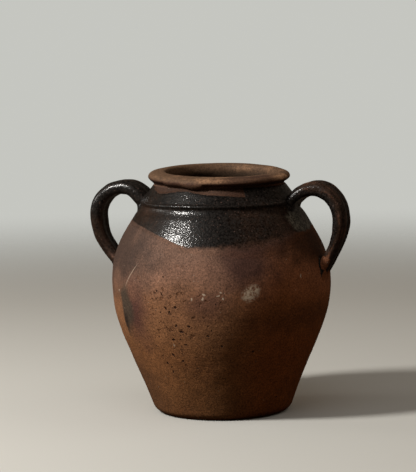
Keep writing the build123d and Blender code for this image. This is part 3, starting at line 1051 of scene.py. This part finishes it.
def fire_marks():
    """The marks that the fire, the stacking and use left on the pot, with painted shade and light, each
    from
    0 to 1: the patches, of which some stop where another pot stood and some are painted shade, the haze,
    the right side, the bare strip and the painted shade under the lip, all outside alone, and then the rim
    with its painted light and the inside, darker clay with painted shade."""
    points = skin(np.arange(len(OUTLINE)), 0.0)
    marks = {name: patch(points, *row) for name, row in PATCHES.items()}
    stacked = smooth_step(*STACK_EDGE, DEGREES + uneven(points, *STACK_UNEVEN))
    for name in ("halo", "bruise", "scorch_and_crevice_shade"):
        marks[name] = marks[name] * stacked
    marks["halo"] = np.maximum(marks["halo"], BLUSH_SHARE * marks.pop("blush"))
    # the crevice's painted shade is painted with the scorch
    marks["scorch_and_crevice_shade"] = np.maximum(marks["scorch_and_crevice_shade"], marks.pop("crevice"))
    below_dip = around(DIP_LINE) - HEIGHTS + uneven(points, *HAZE_UNEVEN)
    marks["haze"] = smooth_step(*HAZE_FADE, below_dip) * between(*HAZY_SIDE, DEGREES)
    marks["right"] = between(*RIGHT_SIDE, DEGREES)
    paler = STRIP_PALER_BY * smooth_step(*STRIP_PALER, DEGREES)
    marks["strip"] = between(*STRIP_HEIGHTS, HEIGHTS) * (1.0 - paler)
    # painted shade under the lip, less where the smear stands out into the light
    under = smooth_step(*UNDER_START, HEIGHTS)
    under = under * smooth_step(*UNDER_END, HEIGHTS + uneven(points, *UNDER_UNEVEN))
    marks["under"] = under * (1.0 - SMEAR_PALER_BY * smeared())
    marks = {name: np.where(IS_OUT, values, 0.0) for name, values in marks.items()}
    # painted light on the rim: paler from the left on, on the right, on the right's outer face and in front
    on_face = np.where(IS_OUT, smooth_step(*RIM_FACE, HEIGHTS), 0.0)
    right, front = (bell((DEGREES - middle) / half) for middle, half in (RIM_PALE_RIGHT, RIM_PALE_FRONT))
    pale = RIM_PALE_LEAST + RIM_PALER_BY * smooth_step(*RIM_PALER, DEGREES)
    marks["rim_paleness_and_painted_light"] = pale + (RIM_RIGHT_BY + RIM_FACE_BY * on_face) * right + RIM_FRONT_BY * front
    marks["rim"] = smooth_step(*RIM_START, HEIGHTS)
    # darker clay inside, with painted shade deeper in the mouth
    marks["inside"] = np.where(IS_OUT, 0.0, smooth_step(*INSIDE_START, HEIGHTS))
    return {name: np.broadcast_to(values, LUMPS.shape) for name, values in marks.items()}


MARKS = fire_marks()


def shoulder_coat(finish):
    """The glaze on the shoulder and neck: a closed coat whose outer side lies on the thrown clay by its
    thickness. It ends a little past the dip line, and dives under the clay in the bare strip. It carries
    the clay's marks too, for where it thins out."""
    rows = np.arange(np.argmax(OUTSIDE[:, 1] > COAT_LOW), np.argmax(OUTSIDE[:, 1] >= NECK_TOP))
    height = HEIGHTS[rows]
    points = skin(rows, 0.0)
    missed, under = missed_by(points, height), under_edge(points, height)
    film = around(COAT_SHARES) * (1.0 + uneven(points, *FILM_UNEVEN))
    film = film * (1.0 + NECK_FILM_EXTRA * smooth_step(CORDON_BASE, CORDON_TOP, height))
    film = film * smooth_step(*COAT_TOP, height + uneven(points, *COAT_TOP_UNEVEN))
    laid = smooth_step(*DIP_LAID, under) * smooth_step(*STRIP_LAID, missed)
    past = around(DIP_LINE) - 0.5 * around(DIP_FEATHER) - height
    lift = smooth_step(*DIP_DIVE, past) * smooth_step(*STRIP_DIVE, missed)
    outer = skin(rows, lift * (COAT_LEAST + GLAZE * film * laid + COAT_SINK) - COAT_SINK)
    inner = skin(rows[::-1], -2.0 * GLAZE)
    degrees, up, half_degrees, half_height = ASH_PATCH
    across = (DEGREES - degrees) / half_degrees
    spread = np.hypot(across, (height - up) / half_height + ASH_SLANT * across)
    ash = smooth_step(*ASH_FADE, spread + uneven(points, *ASH_UNEVEN))
    sheets = {
        "film": film,
        "ash": ash,
        "missed": np.clip(missed, -MISSED_REACH, MISSED_REACH) + MISSED_REACH,
        "under_edge": np.clip(under, *DIP_REACH),
    }
    sheets |= {key: values[rows] for key, values in MARKS.items()}
    both = {key: np.concatenate([values, values[::-1]]) for key, values in sheets.items()}
    return grid_mesh("shoulder_glaze_coat", np.concatenate([outer, inner]), "ring", finish, both)


def body(finish):
    """The thrown body: its whole outline turned, from the middle of the foot to the middle of the floor
    inside."""
    return grid_mesh("thrown_body", skin(np.arange(len(OUTLINE)), 0.0), "points", finish, MARKS)


def strap_film(handle, shares):
    """How much glaze a strap carries: thick inside, in front and in the groove, thin and streaky on its
    outer face and lower half, and none where its tail was left bare."""
    cos, sin = np.cos(STRAP_ANGLES), np.sin(STRAP_ANGLES)
    wide, thick = FILM_HALVES
    spot = np.stack(np.broadcast_arrays(wide * cos, thick * sin, STRAP_LENGTH * shares), axis=-1)
    cloud = smooth_noise(spot, *STRAP_CLOUD)
    streaks = smooth_noise(spot * STREAK_STRETCH, *STRAP_STREAKS)
    facing = np.cos(STRAP_ANGLES - math.radians(handle.thin_side))
    thin = smooth_step(*THIN_AROUND, facing + THIN_CLOUDY * cloud) * smooth_step(*THIN_ALONG, shares)
    front = handle.front * cos + THIN_OUTWARD * sin
    low = smooth_step(handle.thin_from, handle.thin_from + LOW_EASE, shares + LOW_CLOUDY * cloud)
    thin = np.maximum(thin, low * smooth_step(*THIN_FRONT, front + THIN_CLOUDY * cloud))
    film = 1.0 + CLOUD_FILM * cloud - (THIN_LOSS + STREAK_LOSS * streaks) * thin
    film = film + GROOVE_FILM * smooth_step(0.0, FACE_EASE, sin) * bell(cos / GROOVE_FILM_HALF)
    tail = smooth_step(*TAIL_AROUND, np.cos(STRAP_ANGLES - BARE_TAIL_SIDE))
    tail = smooth_step(*TAIL_ALONG, shares) * tail
    bare = handle.bare * smooth_step(*TAIL_EDGE, tail + uneven(spot, *TAIL_UNEVEN))
    return film * (1.0 - bare)


def strap_coat(name, handle, finish):
    """The glaze on a strap: a closed sleeve, its outer side on the clay by the coat's thickness, or just
    under the clay where it is bare, and its inner side hidden in the clay."""
    shares = np.linspace(*COAT_ALONG, STRAP_ROWS)[:, None]
    film = strap_film(handle, shares)
    lift = smooth_step(*COAT_LIFT, film)
    outer = strap(handle, shares, lift * (GLAZE * film + COAT_SINK) - COAT_SINK)
    inner = strap(handle, shares[::-1], -2.0 * GLAZE)
    films = {"film": np.concatenate([film, film[::-1]])}
    films["right"] = np.full_like(films["film"], handle.bare)
    return grid_mesh(name, np.concatenate([outer, inner]), "ring", finish, films)


class Nodes:
    """A tree of nodes. Each method adds nodes, wires what it is given and hands back an output."""

    def __init__(self, tree):
        self.tree = tree

    def feed(self, socket, value):
        """Wires another node's output to a socket, or sets the socket's own value."""
        if isinstance(value, bpy.types.NodeSocket):
            self.tree.links.new(value, socket)
        else:
            socket.default_value = value

    def add(self, kind, settings, inputs, output):
        """Any node, with its settings, inputs by name or number, and the output to hand back."""
        node = self.tree.nodes.new(kind)
        for key, value in settings.items():
            setattr(node, key, value)
        for key, value in inputs.items():
            self.feed(node.inputs[key], value)
        return node.outputs[output]

    def sum(self, operation, first, second):
        """Any sum of two values."""
        return self.add("ShaderNodeMath", {"operation": operation}, {0: first, 1: second}, 0)

    def times(self, first, second):
        """One value times another."""
        return self.sum("MULTIPLY", first, second)

    def vector(self, operation, inputs, output=0):
        """Any sum of vectors."""
        return self.add("ShaderNodeVectorMath", {"operation": operation}, inputs, output)

    def scaled(self, value, low, high):
        """A value from 0 to 1, brought to run from low to high."""
        return self.add("ShaderNodeMapRange", {}, {"Value": value, "To Min": low, "To Max": high}, 0)


class Finish(Nodes):
    """The nodes of one material, with its shader, and places on a piece as its object's coordinates."""

    def __init__(self, name):
        self.material = bpy.data.materials.new(name)
        self.material.use_nodes = True
        super().__init__(self.material.node_tree)
        self.shader = self.tree.nodes["Principled BSDF"]
        self.place = self.add("ShaderNodeTexCoord", {}, {}, "Object")

    def mark(self, name):
        """A value kept on the mesh, and 0 on a mesh without it."""
        return self.add("ShaderNodeAttribute", {"attribute_name": name}, {}, "Fac")

    def height(self):
        """How high above the foot, in metres."""
        return self.add("ShaderNodeSeparateXYZ", {}, {"Vector": self.place}, "Z")

    def noise(self, scale, detail, roughness, output=0):
        """Cloudy noise of so many changes in a metre."""
        inputs = {"Vector": self.place, "Scale": scale, "Detail": detail, "Roughness": roughness}
        return self.add("ShaderNodeTexNoise", {}, inputs, output)

    def shaken(self, scale, amount):
        """Places shaken by noise, by up to half of an amount in millimetres, to break up what is drawn on
        them."""
        shake = self.vector("ADD", {0: self.noise(scale, 2.0, 0.5, 1), 1: (-0.5, -0.5, -0.5)})
        shake = self.vector("SCALE", {0: shake, "Scale": amount * MM})
        return self.vector("ADD", {0: self.place, 1: shake})

    def specks(self, place, scale, size, share):
        """Specks in a share of the cells of a random pattern, as a mask."""
        cells = self.tree.nodes.new("ShaderNodeTexVoronoi")
        self.feed(cells.inputs["Vector"], place)
        self.feed(cells.inputs["Scale"], scale)
        lot = self.add("ShaderNodeSeparateColor", {}, {0: cells.outputs["Color"]}, 0)
        picked = self.ramp(lot, 1.0 - share, 1.01 - share)
        return self.times(picked, self.ramp(cells.outputs["Distance"], size, 0.5 * size))

    def ramp(self, value, low, high):
        """0 at low, 1 at high, eased between."""
        inputs = {"Value": value, "From Min": low, "From Max": high}
        return self.add("ShaderNodeMapRange", {"interpolation_type": "SMOOTHSTEP"}, inputs, 0)

    def stirred(self, value, noise, amount):
        """A value raised or lowered by noise, by up to an amount."""
        return self.sum("ADD", value, self.scaled(noise, -amount, amount))

    def mix(self, share, first, second, blend="MIX"):
        """Two colours mixed by a share."""
        first = (*first, 1.0) if isinstance(first, tuple) else first
        second = (*second, 1.0) if isinstance(second, tuple) else second
        settings = {"data_type": "RGBA", "blend_type": blend}
        return self.add("ShaderNodeMix", settings, {0: share, 6: first, 7: second}, 2)

    def shade(self, colour, value):
        """A colour times a plain value."""
        return self.mix(1.0, colour, value, "MULTIPLY")

    def bands(self, height, stops):
        """The colour at a height in metres, between stops at heights in millimetres."""
        scale = self.tree.nodes.new("ShaderNodeValToRGB")
        marks = scale.color_ramp.elements
        for level, _ in stops[1:-1]:
            marks.new(level / HEIGHT)
        for stop, (_, colour) in zip(marks, stops):
            stop.color = (*colour, 1.0)
        self.feed(scale.inputs[0], self.sum("DIVIDE", height, HEIGHT * MM))
        return scale.outputs[0]

    def spot(self, place, degrees, height, half_width, half_height, tilt):
        """A mark on the wall, 0 outside and 1 within an oval of this half size in millimetres, tilted in
        degrees."""
        radius, turn = wall_radius(height), math.radians(degrees)
        inputs = {
            "Vector": place,
            "Location": (radius * math.sin(turn) * MM, -radius * math.cos(turn) * MM, height * MM),
            "Rotation": (0.0, math.radians(tilt), turn),
            "Scale": (half_width * MM, SPOT_DEPTH * MM, half_height * MM),
        }
        local = self.add("ShaderNodeMapping", {"vector_type": "TEXTURE"}, inputs, 0)
        return self.ramp(self.vector("LENGTH", {0: local}, "Value"), *SPOT_EDGE)

    def spots(self, place, table):
        """All the marks of a short table as one mask."""
        mask = self.spot(place, *table[0])
        for row in table[1:]:
            mask = self.sum("MAXIMUM", mask, self.spot(place, *row))
        return mask

    def bump(self, height, depth, normal=None):
        """A surface roughened by a height from 0 to 1 times a depth in millimetres."""
        inputs = {"Height": height, "Distance": depth * MM, "Strength": 1.0}
        if normal is not None:
            inputs["Normal"] = normal
        return self.add("ShaderNodeBump", {}, inputs, 0)

    def dented(self, mask, depth, normal):
        """A surface sunk by a depth in millimetres where a mask is 1."""
        return self.bump(self.sum("SUBTRACT", 1.0, mask), depth, normal)

    def done(self, colour, roughness, normal):
        """The material, with its shader fed."""
        self.feed(self.shader.inputs["Base Color"], colour)
        self.feed(self.shader.inputs["Roughness"], roughness)
        self.feed(self.shader.inputs["Normal"], normal)
        return self.material


def clay_colour(finish):
    """The clay's colour: bands up the pot with cloudy edges, mottled, with the marks of the fire, painted
    shade and the rim's painted light, grains and specks."""
    cloud, mottle, grain = (finish.noise(*kind) for kind in (CLAY_CLOUD, CLAY_MOTTLE, CLAY_GRAIN))
    colour = finish.bands(finish.stirred(finish.height(), cloud, BAND_WAVER), CLAY_BANDS)
    colour = finish.mix(finish.mark("right"), colour, RIGHT_TINT, "MULTIPLY")
    colour = finish.shade(colour, finish.scaled(cloud, *CLOUD_SHADES))
    colour = finish.shade(colour, finish.scaled(mottle, *MOTTLE_SHADES))
    # the rim's pale places, mottled, with painted light on its right and in front
    pale = finish.ramp(finish.sum("ADD", mottle, finish.mark("rim_paleness_and_painted_light")), *RIM_MOTTLED)
    colour = finish.mix(finish.mark("rim"), colour, finish.mix(pale, RIM_DARK, RIM_PALE))
    # marks of the fire and painted shade
    for name, paint, most in PAINTS:
        colour = finish.mix(finish.times(finish.mark(name), most), colour, paint)
    colour = finish.shade(colour, finish.scaled(grain, *GRAIN_SHADES))
    specks = finish.specks(finish.place, *FINE_SPECKS)
    colour = finish.mix(finish.times(specks, FINE_SPECK_SHARE), colour, SPECK)
    specks = finish.specks(finish.shaken(*SPECK_SHAKE), *DARK_SPECKS)
    colour = finish.mix(finish.times(specks, DARK_SPECK_SHARE), colour, SPECK)
    return finish.mix(finish.specks(finish.place, *PALE_SPECKS), colour, PALE_SPECK)


def clay_relief(finish):
    """The clay's fine relief: sandy grain over softer unevenness."""
    uneven = finish.bump(finish.noise(*CLAY_UNEVEN), UNEVEN_DEPTH)
    return finish.bump(finish.noise(*CLAY_SAND), SAND_DEPTH, uneven)


def pit_mask(finish):
    """Deep pits in the body: those of the table, a few anywhere, and many small ones in the pitted part
    of the wall."""
    place = finish.shaken(*PIT_SHAKE)
    few = finish.specks(place, *FEW_PITS)
    many = finish.times(finish.specks(place, *MANY_PITS), finish.mark("pitted"))
    return finish.sum("MAXIMUM", finish.spots(place, PITS), finish.sum("MAXIMUM", few, many))


def dimple_mask(finish):
    """Shallow dimples in the pitted part of the wall, and curled cracks, which run where a noise passes
    its middle."""
    dimples = finish.specks(finish.shaken(*DIMPLE_SHAKE), *DIMPLES)
    off_middle = finish.sum("ABSOLUTE", finish.sum("SUBTRACT", finish.noise(*CURL), 0.5), 0.0)
    here = finish.ramp(finish.noise(*CURL_PLACES), *CURL_FOUND)
    curls = finish.times(finish.ramp(off_middle, *CURL_WIDTH), here)
    return finish.times(finish.sum("MAXIMUM", dimples, curls), finish.mark("pitted"))


def body_clay():
    """Bare fired clay with its marks, pits, chips, a scuff and a scratch."""
    finish = Finish("bare_clay")
    colour = clay_colour(finish)
    pits = pit_mask(finish)
    dimples = dimple_mask(finish)
    colour = finish.mix(finish.times(dimples, DIMPLE_SHARE), colour, DIMPLE)
    # the pits darkened with painted shade
    colour = finish.mix(finish.ramp(pits, *PIT_EDGE), colour, PIT_SHADE)
    place = finish.shaken(*CHIP_SHAKE)
    broken = finish.ramp(finish.noise(*SCUFF_BREAKS), *SCUFF_BROKEN)
    colour = finish.mix(finish.times(finish.spot(place, *SCUFF), broken), colour, SCUFFED)
    colour = finish.mix(finish.times(finish.spots(place, FLECKS), FLECK_SHARE), colour, CHALK)
    scratch = finish.times(finish.spot(finish.place, *SCRATCH), SCRATCH_SHARE)
    colour = finish.mix(scratch, colour, CHALK)
    relief = finish.dented(dimples, DIMPLE_DEPTH, clay_relief(finish))
    relief = finish.dented(pits, PIT_DEPTH, relief)
    finish.shader.inputs["Specular IOR Level"].default_value = CLAY_SHINE
    return finish.done(colour, finish.scaled(finish.noise(*CLAY_SHEEN), *CLAY_ROUGH), relief)


def strap_clay():
    """The same clay without the marks that belong to one place on the body."""
    finish = Finish("strap_clay")
    return finish.done(clay_colour(finish), STRAP_CLAY_ROUGH, clay_relief(finish))


def dark_glaze(name, shine, coat_rough):
    """Black-brown glaze: black where it lies thick, brown and speckled where it is thin, breaking up into
    the clay at its edges, with an orange-peel surface that breaks up the lights in it."""
    finish = Finish(name)
    mottle, grain = finish.noise(*GLAZE_MOTTLE), finish.noise(*GLAZE_GRAIN)
    peaks = finish.ramp(grain, *GRAIN_PEAKS)
    edge = finish.ramp(finish.stirred(finish.mark("under_edge"), grain, EDGE_GRAINY), 1.0, 0.0)
    laid = finish.times(edge, finish.ramp(finish.mark("missed"), *MISSED_EDGE))
    film = finish.times(finish.mark("film"), laid)
    speckled = finish.stirred(finish.stirred(film, mottle, FILM_MOTTLED), grain, FILM_GRAINY)
    thin = finish.ramp(speckled, *FILM_BROWN)
    colour = finish.mix(thin, GLAZE_BLACK, GLAZE_BROWN)
    colour = finish.mix(finish.ramp(speckled, *FILM_THINNEST), colour, GLAZE_THIN)
    pinholes = finish.specks(finish.shaken(*SPECK_SHAKE), *PINHOLES)
    colour = finish.mix(finish.times(pinholes, PINHOLE_SHARE), colour, GLAZE_THIN)
    ash = finish.times(finish.mark("ash"), finish.scaled(mottle, *ASH_MOTTLED))
    colour = finish.shade(finish.mix(ash, colour, ASH), finish.scaled(peaks, *PEAK_SHADES))
    cover = finish.ramp(finish.stirred(finish.mark("film"), grain, COVER_GRAINY), *FILM_COVERS)
    cover = finish.times(cover, laid)
    colour = finish.mix(cover, clay_colour(finish), colour)
    sockets = finish.shader.inputs
    sockets["Specular IOR Level"].default_value = GLAZE_SHINE
    sockets["Coat Roughness"].default_value = coat_rough
    broken = finish.times(cover, finish.scaled(peaks, *PEAK_SHINE))
    gloss = finish.scaled(thin, shine, THIN_SHINE * shine)
    finish.feed(sockets["Coat Weight"], finish.times(broken, gloss))
    peel = finish.bump(finish.noise(*GLAZE_PEEL), PEEL_DEPTH)
    relief = finish.bump(finish.noise(*GLAZE_RELIEF), GLAZE_RELIEF_DEPTH, peel)
    finish.feed(sockets["Coat Normal"], relief)
    return finish.done(colour, finish.scaled(cover, BARE_ROUGH, GLAZE_ROUGH), relief)


def stage_floor():
    """A wide pale floor that fades into the background, and gives the pot only as much light as a wooden
    board."""
    far = FLOOR_HALF
    corners = [(-far, -far, 0.0), (far, -far, 0.0), (far, far, 0.0), (-far, far, 0.0)]
    mesh = bpy.data.meshes.new("floor")
    mesh.from_pydata(corners, [], [(0, 1, 2, 3)])
    finish = Finish("floor")
    seen = finish.add("ShaderNodeLightPath", {}, {}, "Is Camera Ray")
    reach = finish.vector("LENGTH", {0: finish.place}, "Value")
    finish.feed(finish.shader.inputs["Base Color"], finish.mix(seen, FLOOR_BOUNCE, FLOOR_PALE))
    finish.feed(finish.shader.inputs["Alpha"], finish.ramp(reach, *FLOOR_FADE))
    finish.shader.inputs["Roughness"].default_value = FLOOR_ROUGH
    mesh.materials.append(finish.material)
    floor = bpy.data.objects.new("floor", mesh)
    bpy.context.collection.objects.link(floor)


def world_light():
    """A dim light from all around that is stronger from behind the pot, and a plain pale background."""
    world = bpy.data.worlds.new("studio")
    world.use_nodes = True
    nodes = Nodes(world.node_tree)
    direction = nodes.add("ShaderNodeTexCoord", {}, {}, "Generated")
    back = (-math.sin(VIEW_ANGLE), math.cos(VIEW_ANGLE), 0.0)
    behind = nodes.vector("DOT_PRODUCT", {0: direction, 1: back}, "Value")
    lighting = nodes.add("ShaderNodeLightPath", {}, {}, "Is Diffuse Ray")
    strength = nodes.scaled(nodes.times(behind, lighting), 1.0, BEHIND_TIMES)
    dim = nodes.tree.nodes["Background"]
    nodes.feed(dim.inputs["Color"], AMBIENT)
    nodes.feed(dim.inputs["Strength"], strength)
    pale = nodes.add("ShaderNodeBackground", {}, {"Color": BACKGROUND}, 0)
    seen = nodes.add("ShaderNodeLightPath", {}, {}, "Is Camera Ray")
    either = nodes.add("ShaderNodeMixShader", {}, {0: seen, 1: dim.outputs[0], 2: pale}, 0)
    nodes.feed(nodes.tree.nodes["World Output"].inputs["Surface"], either)
    bpy.context.scene.world = world


def lamp(name, degrees, elevation, width, power, colour, mirrored):
    """A soft round lamp at an angle around the pot and an elevation, aimed at the pot's middle."""
    data = bpy.data.lights.new(name, "AREA")
    data.shape = "DISK"
    data.size = width
    data.energy = power
    data.color = colour
    turn, rise = math.radians(degrees), math.radians(elevation)
    aim = Vector((0.0, 0.0, HEIGHT * MM / 2.0))
    offset = Vector((math.cos(rise) * math.sin(turn), -math.cos(rise) * math.cos(turn), math.sin(rise)))
    light = bpy.data.objects.new(name, data)
    light.location = aim + offset * LAMP_DISTANCE
    light.rotation_euler = offset.to_track_quat("Z", "Y").to_euler()
    light.visible_glossy = mirrored
    bpy.context.collection.objects.link(light)


def camera():
    """The camera as fitted: set back from the pot, turned by its yaw and pitch, rolled, and all swung
    round the pot."""
    forward = np.array(
        (
            math.sin(VIEW_YAW) * math.cos(VIEW_PITCH),
            math.cos(VIEW_YAW) * math.cos(VIEW_PITCH),
            -math.sin(VIEW_PITCH),
        )
    )
    level = np.cross(forward, (0.0, 0.0, 1.0))
    level /= np.linalg.norm(level)
    rise = np.cross(level, forward)
    right = math.cos(VIEW_ROLL) * level + math.sin(VIEW_ROLL) * rise
    up = math.cos(VIEW_ROLL) * rise - math.sin(VIEW_ROLL) * level
    place = np.eye(4)
    place[:3, 0], place[:3, 1], place[:3, 2] = right, up, -forward
    place[:3, 3] = np.array((0.0, -VIEW_DISTANCE, VIEW_HEIGHT)) * MM
    data = bpy.data.cameras.new("camera")
    data.sensor_fit = "VERTICAL"
    data.sensor_height = SENSOR
    data.lens = FOCAL_PIXELS * SENSOR / FRAME_PIXELS
    eye = bpy.data.objects.new("camera", data)
    eye.matrix_world = Matrix.Rotation(VIEW_ANGLE, 4, "Z") @ Matrix(place.tolist())
    bpy.context.collection.objects.link(eye)
    bpy.context.scene.camera = eye


def stand_for(piece, node):
    """Lets a piece stand for its solid: it rides on the pot and hides the solid."""
    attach(piece, "root")
    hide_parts(node)


core_clay = strap_clay()
glaze = dark_glaze("dark_glaze", SHOULDER_SHINE, SHOULDER_COAT_ROUGH)
strap_glaze = dark_glaze("strap_glaze", STRAP_SHINE, STRAP_COAT_ROUGH)
stand_for(body(body_clay()), "pot_body")
stand_for(shoulder_coat(glaze), "shoulder_glaze")
for side, handle in HANDLES.items():
    rows = np.linspace(0.0, 1.0, STRAP_ROWS)[:, None]
    tint = {"right": np.full((STRAP_ROWS, STRAP_COLUMNS), handle.bare)}
    core = grid_mesh(f"{side}_strap", strap(handle, rows, 0.0), "points", core_clay, tint)
    stand_for(core, f"{side}_handle")
    stand_for(strap_coat(f"{side}_strap_glaze", handle, strap_glaze), f"{side}_handle_glaze")
    for root in ("upper", "lower"):
        films = {"film": slip_film(handle, root)}
        films["right"] = np.full_like(films["film"], handle.bare)
        ring = grid_mesh(f"{side}_{root}_fillet", slip_fillet(handle, root), "ring", strap_glaze, films)
        stand_for(ring, f"{side}_{root}_slip")

stage_floor()
world_light()
for name, settings in LAMPS.items():
    lamp(name, *settings)
camera()
bpy.context.scene.view_settings.view_transform = "Standard"
